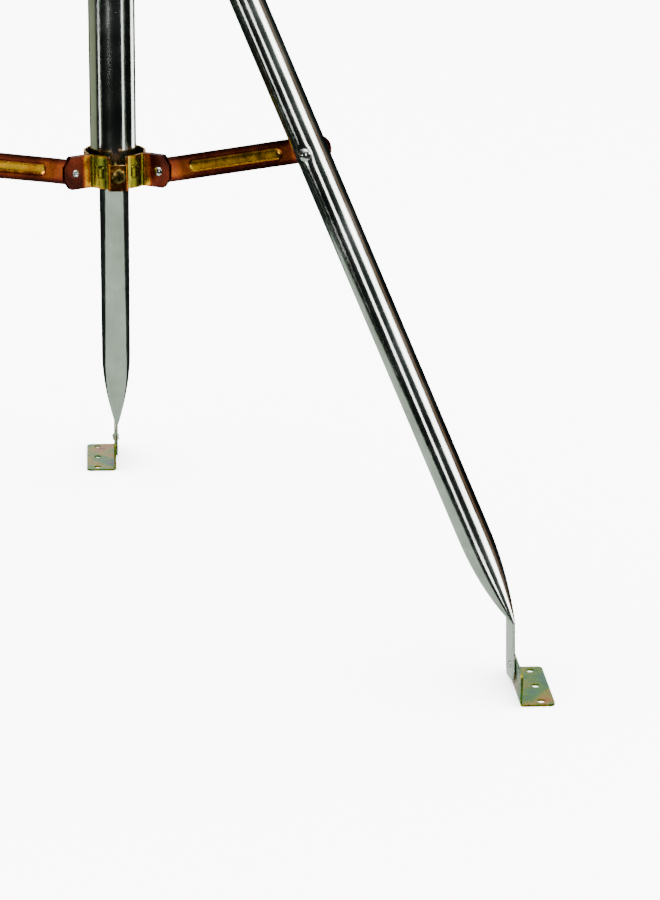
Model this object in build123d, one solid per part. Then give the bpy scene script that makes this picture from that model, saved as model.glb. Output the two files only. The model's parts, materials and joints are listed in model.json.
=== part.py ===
from build123d import *
import math
import os

# Overall sizes, in mm. Z = 0 is the floor and the mast's axis is the Z axis.
leg_tilt = 26.5             # leg's lean from the mast, open
foot_radius = 425.4         # mast axis to the leg's crease at the foot
crease_height = 59.1        # height of that crease
pivot_radius = 52.0         # mast axis to the leg's top pivot
leg_azimuths = {"right": -30.0, "back": 90.0, "left": 210.0}

# Tubes
mast_diameter = 44.45
mast_wall = 1.6
mast_length = 610.0
mast_bottom = 440.0
mast_shift_azimuth = 105.0  # the set bolts push the mast against the back of the rings
mast_ring_gap = 0.275
leg_diameter = 31.75
leg_wall = 1.2
foot_taper = 90.0           # round tube down to the flat at the foot
head_taper = 76.0           # the same at the top
head_flat = 34.0            # top pivot to the end of the top flat
tab_end_radius = 18.0
tab_below_pivot = 12.5
pivot_drop = 42.6           # crease to the foot rivet, along the tab

# Clamp rings
sheet = 2.0
ring_radius = 29.0          # middle of the sheet
ring_height = 32.0
bend_radius = 4.0
collar_height = 452.0       # middle of the lower ring
collar_ear_end = 59.4
collar_rivet_radius = 47.4
collar_yaw = 4.7            # boss turned from halfway between the legs
collar_ear_offset = 3.8     # ear pair's middle, sideways from the leg's plane
collar_gap = 2.5            # between the ears
head_ear_end = 66.0
head_gap = 2.9
ear_clip_length = 7.0
ear_clip_height = 9.5
boss_half_width = 9.35
boss_front = 38.0
pad_proud = 0.7
boss_top = 9.3              # boss front cut down at the top, so that the nut can go in

# Set bolts and their captive nuts
bolt_end_gap = 0.35
bolt_radius = 3.97
bolt_head_across = 12.7
bolt_head_height = 5.4
nut_side_gap = 0.2          # captive nut to each side of the boss
nut_thickness = 5.6
thread_clearance = 0.06
boss_hole_radius = 4.5

# Rivets and pivot bolts
rivet_radius = 2.5
rivet_head_radius = 4.2
rivet_head_height = 2.2
rivet_tail_radius = 3.7
rivet_tail_height = 1.4
rivet_tail_floor = 0.4      # bottom of the tail's hollow above its base
rivet_tail_round = 0.9
rivet_hollow_radius = 1.4
split_gap = 0.05            # between the two halves of the leg's rivet
pivot_clearance = 0.08
pivot_bolt_radius = 3.97
pivot_nut_height = 6.4
pivot_thread_end = 4.0

# Braces
brace_width = 24.0
brace_sheet = 2.0
brace_height_rise = 38.0    # ear rivet up to the leg rivet
ear_bend = 22.0             # ear rivet to the first bend
leg_bend = 30.0             # leg rivet back to the second bend
rib_width = 13.0
rib_rise = 1.3
rib_inset = 9.0             # first bend to the rib's end
leg_gap = 0.4               # strap to tube
leg_rivet_head_radius = 6.0
leg_rivet_head_height = 3.0

# Feet
flange = 31.75
floor_flange = 33.7
bracket_length = 88.0
bracket_far = 29.6          # rivet to the bracket's rear end
bracket_sheet = 2.0
bracket_corner = 4.5
foot_gap = 0.1              # bracket to tab
foot_hole_radius = 4.0
foot_hole_first = 9.5
foot_hole_step = 35.0
foot_hole_edge = 12.5       # hole row to the flange's free edge

overlap = 0.6               # depth that joined solids share

mast_shift = ring_radius - sheet / 2 - mast_diameter / 2 - mast_ring_gap
nut_across = 2 * (boss_half_width - sheet - nut_side_gap)
tilt = math.radians(leg_tilt)
leg_length = (foot_radius - pivot_radius) / math.sin(tilt)
pivot_height = crease_height + leg_length * math.cos(tilt)
leg_down = Vector(math.sin(tilt), 0, -math.cos(tilt))
tangent = Vector(0, 1, 0)
pivot_point = Vector(pivot_radius, 0, pivot_height)
crease_point = Vector(foot_radius, 0, crease_height)
brace_rivet_height = collar_height + brace_height_rise
brace_rivet_reach = foot_radius - (brace_rivet_height - crease_height) * math.tan(tilt)
brace_run = math.hypot(brace_rivet_reach - collar_rivet_radius, brace_height_rise)
brace_slope = math.atan2(brace_height_rise, brace_rivet_reach - collar_rivet_radius)
brace_outer_offset = leg_diameter / 2 + leg_gap + brace_sheet / 2
made = {}


def turned(shape, azimuth):
    return shape.rotate(Axis.Z, azimuth)


def rod(start, direction, radius, length):
    """Solid cylinder from a start point along a direction."""
    return extrude(Plane(origin=start, z_dir=direction) * Circle(radius), amount=length)


def dome(start, direction, radius, height):
    """Low rounded head standing on a plane."""
    ball = (radius * radius + height * height) / (2 * height)
    centre = start + direction * (height - ball)
    cap = Pos(centre) * Sphere(ball)
    keep = rod(start, direction, radius, height + 1)
    return cap & keep


def flattened(centre, thin, wide, outer_half, inset):
    """Tube's section pressed to a half thickness, its perimeter kept, set in from the skin."""
    full = leg_diameter / 2
    straight = math.pi * (full - outer_half) / 2
    half_thickness = outer_half - inset
    corners = []
    for side in (1, -1):
        for step in range(0, 7):
            angle = math.radians(-90 + 30 * step) if side > 0 else math.radians(90 + 30 * step)
            along = side * straight + half_thickness * math.cos(angle)
            across = half_thickness * math.sin(angle)
            corners.append(centre + wide * along + thin * across)
    if straight < 0.05:
        top = centre + thin * half_thickness
        low = centre - thin * half_thickness
        first = ThreePointArc(low, centre + wide * half_thickness, top)
        second = ThreePointArc(top, centre - wide * half_thickness, low)
        return Face(Wire([first, second]))
    half = [
        Spline(
            [corners[13] * 0.5 + corners[0] * 0.5] + corners[0:7] + [corners[6] * 0.5 + corners[7] * 0.5],
            tangents=[wide, -wide],
        ),
        Spline(
            [corners[6] * 0.5 + corners[7] * 0.5] + corners[7:14] + [corners[13] * 0.5 + corners[0] * 0.5],
            tangents=[-wide, wide],
        ),
    ]
    return Face(Wire(half))


def taper(end, towards_tube, length, thin, inset):
    """Tube pressed flat over a length, starting flat at its end; an inset gives its hollow."""
    wide = thin.cross(towards_tube).normalized()
    full = leg_diameter / 2
    sections = []
    for part in (0.0, 0.1, 0.24, 0.42, 0.64, 0.84, 1.0):
        swell = math.sin(math.pi / 2 * part ** 0.85)
        half = leg_wall + (full - leg_wall) * swell
        if half > inset + 0.5:
            sections.append(flattened(end + towards_tube * (length * part), thin, wide, half, inset))
    return loft(sections)


def plate(origin, along, normal, length, width, thickness, corner):
    """Flat bar with rounded far corners, its middle plane through the origin."""
    side = normal.cross(along).normalized()
    frame = Plane(origin=origin, x_dir=along, z_dir=normal)
    shape = Pos(length / 2, 0) * Rectangle(length, width)
    ends = shape.vertices().sort_by(Axis.X)[-2:]
    shape = fillet(ends, corner)
    return extrude(frame * shape, amount=thickness / 2, both=True)


def foot_normal(name):
    """Direction in which the foot bracket's floor flange runs out, before the leg is turned."""
    world = {"right": 0.0, "back": 180.0, "left": 180.0}[name]
    angle = math.radians(world - leg_azimuths[name])
    return Vector(math.cos(angle), math.sin(angle), 0)


def foot_frame(name):
    """Tab direction, tab width direction and rivet centre of one foot."""
    out = foot_normal(name)
    wide = out.cross(leg_down).normalized()
    down = out.cross(wide).normalized()
    if down.Z > 0:
        down = down * -1
    return out, wide, down, crease_point + down * pivot_drop


def leg(name):
    """One tube leg: top flat, round tube, pressed taper and creased foot tab."""
    flat_width = math.pi * (leg_diameter - leg_wall) / 2
    out, wide, down, rivet = foot_frame(name)
    thin = leg_down.cross(wide).normalized()
    lower_start = crease_point - leg_down * foot_taper
    upper_start = pivot_point + leg_down * (head_flat + head_taper)
    tube_length = (lower_start - upper_start).length
    body = rod(upper_start, leg_down, leg_diameter / 2, tube_length)
    flat_end = pivot_point + leg_down * head_flat
    body = body + taper(crease_point, leg_down * -1, foot_taper, thin, 0)
    body = body + taper(flat_end, leg_down, head_taper, tangent, 0)
    hollow = rod(upper_start, leg_down, leg_diameter / 2 - leg_wall, tube_length)
    hollow = hollow + taper(crease_point, leg_down * -1, foot_taper, thin, leg_wall)
    hollow = hollow + taper(flat_end, leg_down, head_taper, tangent, leg_wall)
    body = body - hollow
    tab = plate(crease_point - down * overlap, down, out, pivot_drop + tab_below_pivot + overlap,
                flat_width, 2 * leg_wall, 9.0)
    crease = rod(crease_point - wide * (flat_width / 2), wide, leg_wall, flat_width)
    body = body + tab + crease
    top = Plane(origin=pivot_point, x_dir=leg_down, z_dir=tangent)
    half = flat_width / 2
    outline = Circle(tab_end_radius) + Polygon(
        (0, -tab_end_radius), (head_flat + overlap, -half), (head_flat + overlap, half), (0, tab_end_radius),
        align=None)
    body = body + extrude(top * outline, amount=leg_wall, both=True)
    body = body - rod(pivot_point - tangent * 9, tangent, pivot_bolt_radius + pivot_clearance, 18)
    body = body - rod(rivet - out * 9, out, rivet_radius + 0.02, 18)
    rivet_point = Vector(brace_rivet_reach, 0, brace_rivet_height)
    body = body - rod(rivet_point - tangent * 30, tangent, rivet_radius + 0.02, 60)
    return body


def ring_profile(gap, offset, yaw, ear_end, boss):
    """Plan of one clamp segment, from the ear at azimuth 0 round to the ear at azimuth 120."""
    near = offset + gap / 2 + sheet / 2
    far = -offset + gap / 2 + sheet / 2
    corners = []
    for ear in (near, far):
        reach = math.sqrt((ring_radius + bend_radius) ** 2 - (ear + bend_radius) ** 2)
        angle = math.atan2(ear + bend_radius, reach)
        bar = Pos((reach + ear_end) / 2, ear) * Rectangle(ear_end - reach, sheet)
        hub = Pos(reach, ear + bend_radius)
        curl = hub * (Circle(bend_radius + sheet / 2) - Circle(bend_radius - sheet / 2))
        far_point = 3 * (bend_radius + sheet)
        low = (math.cos(angle + math.pi) * far_point, math.sin(angle + math.pi) * far_point)
        wedge = hub * Polygon((0, 0), low, (low[0] * 0.6 + 2, -far_point), (0, -far_point), align=None)
        corners.append((bar + (curl & wedge), angle))
    first, first_angle = corners[0]
    second, second_angle = corners[1]
    second = second.mirror(Plane.XZ).rotate(Axis.Z, 120)
    start = first_angle
    stop = math.radians(120) - second_angle
    middle = (start + stop) / 2
    reach = 2 * ring_radius
    sector = Polygon(
        (0, 0),
        (reach * math.cos(start), reach * math.sin(start)),
        (2 * reach * math.cos(middle), 2 * reach * math.sin(middle)),
        (reach * math.cos(stop), reach * math.sin(stop)),
        align=None)
    wall = (Circle(ring_radius + sheet / 2) - Circle(ring_radius - sheet / 2)) & sector
    plan = wall + first + second
    if not boss:
        return plan
    turn = Rot(0, 0, 60 + yaw)
    outer = Pos((boss_front + 20) / 2, 0) * Rectangle(boss_front - 20, 2 * boss_half_width)
    outer = fillet(outer.vertices().sort_by(Axis.X)[-2:], sheet * 0.9)
    inner_front = boss_front - sheet
    inner = Pos((inner_front + 10) / 2, 0) * Rectangle(inner_front - 10, 2 * (boss_half_width - sheet))
    lip = turn * outer - Circle(ring_radius)
    return plan + lip - turn * inner


def segment(gap, offset, yaw, ear_end, rivet_reach, hole, boss):
    """One stamped clamp segment with two ears, and a boss on the front one, centred on Z = 0."""
    solid = extrude(ring_profile(gap, offset, yaw, ear_end, boss), amount=ring_height / 2, both=True)
    for azimuth in (0, 120):
        for level in (1, -1):
            cut = Polygon(
                (ear_end - ear_clip_length, level * ring_height / 2),
                (ear_end + 1, level * ring_height / 2),
                (ear_end + 1, level * (ring_height / 2 - ear_clip_height - 1)),
                (ear_end, level * (ring_height / 2 - ear_clip_height)),
                align=None)
            wedge = extrude(Plane.XZ * cut, amount=12, both=True)
            solid = solid - turned(wedge, azimuth)
        drill = Vector(rivet_reach, -12, 0)
        solid = solid - turned(rod(drill, tangent, hole, 24), azimuth)
    if not boss:
        return solid
    spin = 60 + yaw
    solid = solid - turned(rod(Vector(20, 0, 0), Vector(1, 0, 0), boss_hole_radius, 30), spin)
    mouth_height = ring_height / 2 - boss_top
    mouth = Pos(boss_front - 1, 0, boss_top + mouth_height / 2 + 0.5) * Box(
        8, 2 * (boss_half_width - sheet) - 1, mouth_height + 1)
    solid = solid - turned(mouth, spin)
    for side in (1, -1):
        band = extrude(
            Circle(ring_radius + sheet / 2 + pad_proud) - Circle(ring_radius), amount=6.5, both=True)
        window = turned(Pos(30, 0, 0) * Box(20, 5.5, 9), spin + side * 31)
        solid = solid + (band & window)
    return solid


def hexagon_block(across, height):
    radius = across / math.sqrt(3)
    block = extrude(RegularPolygon(radius, 6), amount=height)
    cone = Cone(radius * 1.25, radius * 0.93, height * 0.999, align=(Align.CENTER, Align.CENTER, Align.MIN))
    return block & cone


def set_bolt():
    """Hexagon set bolt along +X from the mast's surface out through the boss."""
    head = Plane(origin=(boss_front, 0, 0), z_dir=(1, 0, 0)) * Pos(0, 0, 0.05) * hexagon_block(
        bolt_head_across, bolt_head_height)
    start = Vector(mast_diameter / 2 - mast_shift + bolt_end_gap, 0, 0)
    shank = rod(start, Vector(1, 0, 0), bolt_radius, boss_front - start.X + 1)
    return head + shank


def captive_nut():
    """Square nut held in the boss."""
    block = Pos(boss_front - sheet - nut_thickness / 2, 0, 0) * Box(nut_thickness, nut_across, nut_across)
    bore = rod(Vector(20, 0, 0), Vector(1, 0, 0), bolt_radius + thread_clearance, 20)
    return block - bore


def spun(edges, origin, direction):
    """Closed outline in the XZ plane turned about Z, then stood on a point along a direction."""
    return Plane(origin=origin, z_dir=direction) * revolve(Face(Wire(edges)), Axis.Z, 360)


def tail_outline(bottom, grip):
    """Shank and rolled hollow tail, from the shank's bottom corner to the tail's axis."""
    top = grip + rivet_tail_height
    shoulder = top - rivet_tail_round
    crown = rivet_tail_radius - rivet_tail_round
    cut = rivet_tail_round * (1 - math.sqrt(0.5))
    floor = grip + rivet_tail_floor
    return [
        Line((rivet_radius, 0, bottom), (rivet_radius, 0, grip)),
        Line((rivet_radius, 0, grip), (rivet_tail_radius, 0, grip)),
        Line((rivet_tail_radius, 0, grip), (rivet_tail_radius, 0, shoulder)),
        ThreePointArc((rivet_tail_radius, 0, shoulder), (rivet_tail_radius - cut, 0, top - cut), (crown, 0, top)),
        Line((crown, 0, top), (rivet_hollow_radius, 0, top)),
        Line((rivet_hollow_radius, 0, top), (rivet_hollow_radius, 0, floor)),
        Line((rivet_hollow_radius, 0, floor), (0, 0, floor)),
    ]


def rivet(grip, from_point, direction):
    """Rivet with a domed head below the start point and a rolled hollow tail beyond the grip."""
    low = -rivet_head_height
    ball = (rivet_head_radius ** 2 + rivet_head_height ** 2) / (2 * rivet_head_height)
    middle = math.asin(rivet_head_radius / ball) / 2
    head = [
        ThreePointArc((0, 0, low), (ball * math.sin(middle), 0, low + ball * (1 - math.cos(middle))),
                      (rivet_head_radius, 0, 0)),
        Line((rivet_head_radius, 0, 0), (rivet_radius, 0, 0)),
    ]
    axis = [Line((0, 0, grip + rivet_tail_floor), (0, 0, low))]
    return spun(head + tail_outline(0, grip) + axis, from_point, direction)


def rivet_tail(grip, from_point, direction):
    """Tail half of a split rivet: a short shank through the strap and the rolled tail."""
    base = [Line((0, 0, 0), (rivet_radius, 0, 0))]
    axis = [Line((0, 0, grip + rivet_tail_floor), (0, 0, 0))]
    return spun(base + tail_outline(0, grip) + axis, from_point, direction)


def brace():
    """Offset strap from the ear to the leg, with a pressed rib and full-round ends."""
    step = brace_outer_offset - collar_ear_offset
    far = brace_run - leg_bend
    end = brace_width / 2
    path = [
        (-end, collar_ear_offset),
        (ear_bend, collar_ear_offset),
        (far, brace_outer_offset),
        (brace_run + end, brace_outer_offset),
    ]
    half = brace_sheet / 2
    slant = math.atan2(step, far - ear_bend)
    mitre = half * math.tan(slant / 2)
    upper = [
        (path[0][0], path[0][1] + half),
        (path[1][0] - mitre, path[1][1] + half),
        (path[2][0] - mitre, path[2][1] + half),
        (path[3][0], path[3][1] + half),
    ]
    lower = [
        (path[3][0], path[3][1] - half),
        (path[2][0] + mitre, path[2][1] - half),
        (path[1][0] + mitre, path[1][1] - half),
        (path[0][0], path[0][1] - half),
    ]
    profile = Polygon(*(upper + lower), align=None)
    bar = extrude(profile, amount=brace_width / 2, both=True)
    outline = Pos(brace_run / 2, 0) * SlotCenterToCenter(brace_run, brace_width)
    upright = Plane(origin=(0, 0, 0), x_dir=(1, 0, 0), z_dir=(0, 1, 0))
    bar = bar & extrude(upright * outline, amount=40, both=True)
    span = math.hypot(far - ear_bend, step)
    centre = ((ear_bend + far) / 2, (collar_ear_offset + brace_outer_offset) / 2)
    rib_length = span - 2 * rib_inset
    rib_plane = Plane(
        origin=(centre[0], centre[1], 0),
        x_dir=(math.cos(slant), math.sin(slant), 0),
        z_dir=(math.sin(slant), -math.cos(slant), 0))
    raised = Pos(0, 0, half - overlap / 2) * extrude(
        SlotOverall(rib_length, rib_width), amount=rib_rise + overlap / 2)
    crown = raised.edges().sort_by(Axis.Z)[-4:]
    raised = fillet(crown, rib_rise * 0.8)
    hollow = Pos(0, 0, -half) * extrude(SlotOverall(rib_length - 5, rib_width - 5), amount=rib_rise)
    bar = bar + rib_plane * raised - rib_plane * hollow
    bar = bar - rod(Vector(0, -5, 0), tangent, rivet_radius + pivot_clearance, 30)
    bar = bar - rod(Vector(brace_run, -5, 0), tangent, rivet_radius + 0.02, 60)
    bar = bar.rotate(Axis.Y, -math.degrees(brace_slope))
    return Pos(collar_rivet_radius, 0, collar_height) * bar


def bracket(name):
    """Angle foot bracket, its rivet hole at the tab's rivet."""
    out, wide, down, centre = foot_frame(name)
    along = Vector(0, 0, 1).cross(out).normalized()
    if turned_y(along, leg_azimuths[name]) > 0:
        along = along * -1
    near = leg_wall + foot_gap
    corner = Vector(centre.X, centre.Y, 0) + out * near
    profile = Polygon((0, 0), (floor_flange, 0), (floor_flange, bracket_sheet), (bracket_sheet, bracket_sheet),
                      (bracket_sheet, flange), (0, flange), align=None)
    handed = out.cross(Vector(0, 0, 1)).dot(along)
    frame = Plane(origin=corner, x_dir=out, z_dir=out.cross(Vector(0, 0, 1)).normalized())
    start = -bracket_far if handed > 0 else bracket_far
    solid = extrude(frame * Pos(0, 0, start) * profile, amount=bracket_length if handed > 0 else -bracket_length)
    heel = solid.edges().filter_by(lambda edge: abs(edge.length - bracket_length) < 0.01)
    heel = sorted(heel, key=lambda edge: (edge.center() - corner).dot(out) + edge.center().Z)
    solid = fillet([heel[0]], 3.2)
    inner = solid.edges().filter_by(lambda edge: abs(edge.length - bracket_length) < 0.01)
    inner = sorted(inner, key=lambda edge: abs((edge.center() - corner).dot(out) - bracket_sheet)
                   + abs(edge.center().Z - bracket_sheet))
    solid = fillet([inner[0]], 1.2)
    tips = []
    for edge in solid.edges():
        if abs(edge.length - bracket_sheet) > 0.01:
            continue
        middle = edge.center()
        if middle.Z > flange - 0.5 or (middle - corner).dot(out) > floor_flange - 0.5:
            tips.append(edge)
    solid = fillet(tips, bracket_corner)
    for step in range(3):
        spot = corner + out * (floor_flange - foot_hole_edge) + along * (foot_hole_first + step * foot_hole_step
                                                                   - bracket_far)
        solid = solid - rod(spot - Vector(0, 0, 2), Vector(0, 0, 1), foot_hole_radius, 8)
    return solid - rod(centre - out * 2, out, rivet_radius + pivot_clearance, 9)


def turned_y(vector, azimuth):
    angle = math.radians(azimuth)
    return vector.X * math.sin(angle) + vector.Y * math.cos(angle)


def pivot_bolt():
    """Top pivot bolt through both ears and the leg's flat, head on the clockwise side."""
    reach = head_gap / 2 + sheet
    start = pivot_point - tangent * (reach + 0.02)
    head = Plane(origin=start, z_dir=tangent * -1) * hexagon_block(bolt_head_across, bolt_head_height)
    length = 2 * reach + pivot_nut_height + pivot_thread_end
    return head + rod(start - tangent, tangent, pivot_bolt_radius, length + 1)


def pivot_nut():
    """Hexagon nut on the pivot bolt."""
    reach = head_gap / 2 + sheet + 0.02
    block = Plane(origin=pivot_point + tangent * reach, z_dir=tangent) * hexagon_block(
        bolt_head_across, pivot_nut_height)
    return block - rod(pivot_point, tangent, pivot_bolt_radius, 30)


def add(name, shape):
    made[name] = shape


mast = extrude(Circle(mast_diameter / 2) - Circle(mast_diameter / 2 - mast_wall), amount=mast_length)
add("mast_tube", turned(Pos(mast_shift, 0, mast_bottom) * mast, mast_shift_azimuth))

clamps = {
    "head": dict(level=pivot_height, yaw=0.0, gap=head_gap, offset=0.0, ear_end=head_ear_end,
                 rivet_reach=pivot_radius, hole=pivot_bolt_radius + 0.02),
    "collar": dict(level=collar_height, yaw=collar_yaw, gap=collar_gap, offset=collar_ear_offset,
                   ear_end=collar_ear_end, rivet_reach=collar_rivet_radius, hole=rivet_radius + 0.01),
}
bolt = set_bolt()
nut = captive_nut()
strap = brace()
tail_start = Vector(brace_rivet_reach, brace_outer_offset - brace_sheet / 2, brace_rivet_height)
strap_tail = rivet_tail(brace_sheet - split_gap, tail_start + tangent * split_gap, tangent)
leg_rivet_start = Vector(brace_rivet_reach, -leg_diameter / 2 - 0.5, brace_rivet_height)
leg_rivet = rod(leg_rivet_start, tangent, rivet_radius, leg_diameter + 0.5)
leg_rivet = leg_rivet + dome(leg_rivet_start + tangent * 1.7, tangent * -1, leg_rivet_head_radius,
                             leg_rivet_head_height + 1.2)
leg_rivet = leg_rivet - (rod(pivot_point, leg_down, leg_diameter / 2 + 0.01, leg_length)
                         - rod(leg_rivet_start, tangent, rivet_radius, leg_diameter + 2))
ear_reach = collar_gap / 2 + sheet
ear_start = Vector(collar_rivet_radius, collar_ear_offset - ear_reach - 0.02, collar_height)
ear_rivet = rivet(2 * ear_reach + 0.04, ear_start, tangent)

for name, azimuth in leg_azimuths.items():
    add("leg_" + name, turned(leg(name), azimuth))
    add("pivot_bolt_" + name, turned(pivot_bolt(), azimuth))
    add("pivot_nut_" + name, turned(pivot_nut(), azimuth))
    add("brace_" + name, turned(strap, azimuth))
    add("brace_rivet_" + name, turned(leg_rivet, azimuth))
    add("brace_rivet_tail_" + name, turned(strap_tail, azimuth))
    add("ear_rivet_" + name, turned(ear_rivet, azimuth))
    add("foot_bracket_" + name, turned(bracket(name), azimuth))
    out, wide, down, centre = foot_frame(name)
    grip = 2 * leg_wall + foot_gap + bracket_sheet + 0.06
    inside = centre + out * (grip - leg_wall - 0.02)
    add("foot_rivet_" + name, turned(rivet(grip, inside, out * -1), azimuth))

for clamp, facts in clamps.items():
    lift = Pos(0, 0, facts["level"])
    sizes = {key: facts[key] for key in ("gap", "offset", "yaw", "ear_end", "rivet_reach", "hole")}
    for side, azimuth in (("right", -30.0), ("left", 90.0), ("front", 210.0)):
        add(clamp + "_segment_" + side, turned(lift * segment(boss=side == "front", **sizes), azimuth))
    front = 270 + facts["yaw"]
    add(clamp + "_nut", turned(lift * nut, front))
    add(clamp + "_set_bolt", turned(lift * bolt, front))

os.makedirs("parts", exist_ok=True)
for node, shape in made.items():
    export_step(shape, os.path.join("parts", node + ".step"))
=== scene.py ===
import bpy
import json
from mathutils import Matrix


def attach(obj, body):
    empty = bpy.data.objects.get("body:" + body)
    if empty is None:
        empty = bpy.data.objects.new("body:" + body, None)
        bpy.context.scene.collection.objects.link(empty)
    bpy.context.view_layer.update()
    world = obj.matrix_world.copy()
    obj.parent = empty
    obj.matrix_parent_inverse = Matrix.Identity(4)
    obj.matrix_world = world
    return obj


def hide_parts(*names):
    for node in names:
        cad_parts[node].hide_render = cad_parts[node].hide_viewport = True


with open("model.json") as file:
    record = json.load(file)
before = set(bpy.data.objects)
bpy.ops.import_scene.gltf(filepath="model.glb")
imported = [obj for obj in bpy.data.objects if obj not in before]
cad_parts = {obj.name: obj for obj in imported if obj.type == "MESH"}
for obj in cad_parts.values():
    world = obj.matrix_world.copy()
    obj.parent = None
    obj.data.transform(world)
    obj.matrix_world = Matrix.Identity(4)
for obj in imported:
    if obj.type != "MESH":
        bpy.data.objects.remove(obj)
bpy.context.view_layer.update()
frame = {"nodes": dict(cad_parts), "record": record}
import json
import math
import bmesh
import bpy
import mathutils
import numpy as np

nodes = frame["nodes"]
mm = 0.001
print("frame loaded")

# Sizes of the stand, in mm, as in the solid model
stand = dict(
    tilt=26.5, footRadius=425.4, creaseHeight=59.1, pivotRadius=52.0,
    azimuths={"right": -30.0, "back": 90.0, "left": 210.0},
    footTurn={"right": 0.0, "back": 180.0, "left": 180.0},
    mastShift=5.5, mastShiftAzimuth=105.0,
    collarHeight=452.0, collarRivet=47.4, collarYaw=4.7, collarOffset=3.8, legRivetRise=38.0,
)
tilt = math.radians(stand["tilt"])
legLength = (stand["footRadius"] - stand["pivotRadius"]) / math.sin(tilt)
pivotHeight = stand["creaseHeight"] + legLength * math.cos(tilt)
legDown = np.array([math.sin(tilt), 0.0, -math.cos(tilt)])
pivotPoint = np.array([stand["pivotRadius"], 0.0, pivotHeight])
creasePoint = np.array([stand["footRadius"], 0.0, stand["creaseHeight"]])
legRivetHeight = stand["collarHeight"] + stand["legRivetRise"]
legRivetReach = stand["footRadius"] - (legRivetHeight - stand["creaseHeight"]) * math.tan(tilt)
legRivetPoint = np.array([legRivetReach, 0.0, legRivetHeight])
tangent = np.array([0.0, 1.0, 0.0])


def unit(vector):
    # the same direction with length one
    return vector / np.linalg.norm(vector)


def turnAbout(points, degrees):
    # rotation about the Z axis: x cos a - y sin a, x sin a + y cos a
    cosine, sine = math.cos(math.radians(degrees)), math.sin(math.radians(degrees))
    spin = np.array([[cosine, -sine, 0], [sine, cosine, 0], [0, 0, 1]])
    return np.asarray(points) @ spin.T


def smooth(low, high, value):
    # smoothstep: 3 t^2 - 2 t^3 between low and high
    t = np.clip((value - low) / (high - low), 0, 1)
    return t * t * (3 - 2 * t)


def linear(hexColour):
    # sRGB hex to linear RGBA: the standard piecewise power curve
    values = np.array([int(hexColour[i:i + 2], 16) for i in (1, 3, 5)]) / 255.0
    low = values / 12.92
    high = ((values + 0.055) / 1.055) ** 2.4
    return tuple(np.where(values <= 0.04045, low, high)) + (1.0,)


def addNode(tree, kind, settings=None, links=None):
    # one node with its properties, socket values, colour stops and incoming links
    node = tree.nodes.new(kind)
    for key, value in (settings or {}).items():
        if key == "stops":
            elements = node.color_ramp.elements
            while len(elements) < len(value):
                elements.new(0.5)
            for element, (place, colour) in zip(elements, value):
                grey = (colour, colour, colour, 1.0)
                element.position = place
                element.color = linear(colour) if isinstance(colour, str) else grey
        elif isinstance(key, int) or key in node.inputs:
            node.inputs[key].default_value = value
        else:
            setattr(node, key, value)
    for key, source in (links or {}).items():
        tree.links.new(source, node.inputs[key])
    return node


def newMaterial(name):
    # an empty node material with its surface shader joined to the output
    material = bpy.data.materials.new(name)
    material.use_nodes = True
    tree = material.node_tree
    tree.nodes.clear()
    shader = addNode(tree, "ShaderNodeBsdfPrincipled")
    addNode(tree, "ShaderNodeOutputMaterial", links={"Surface": shader.outputs["BSDF"]})
    return material, tree, shader


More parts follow.
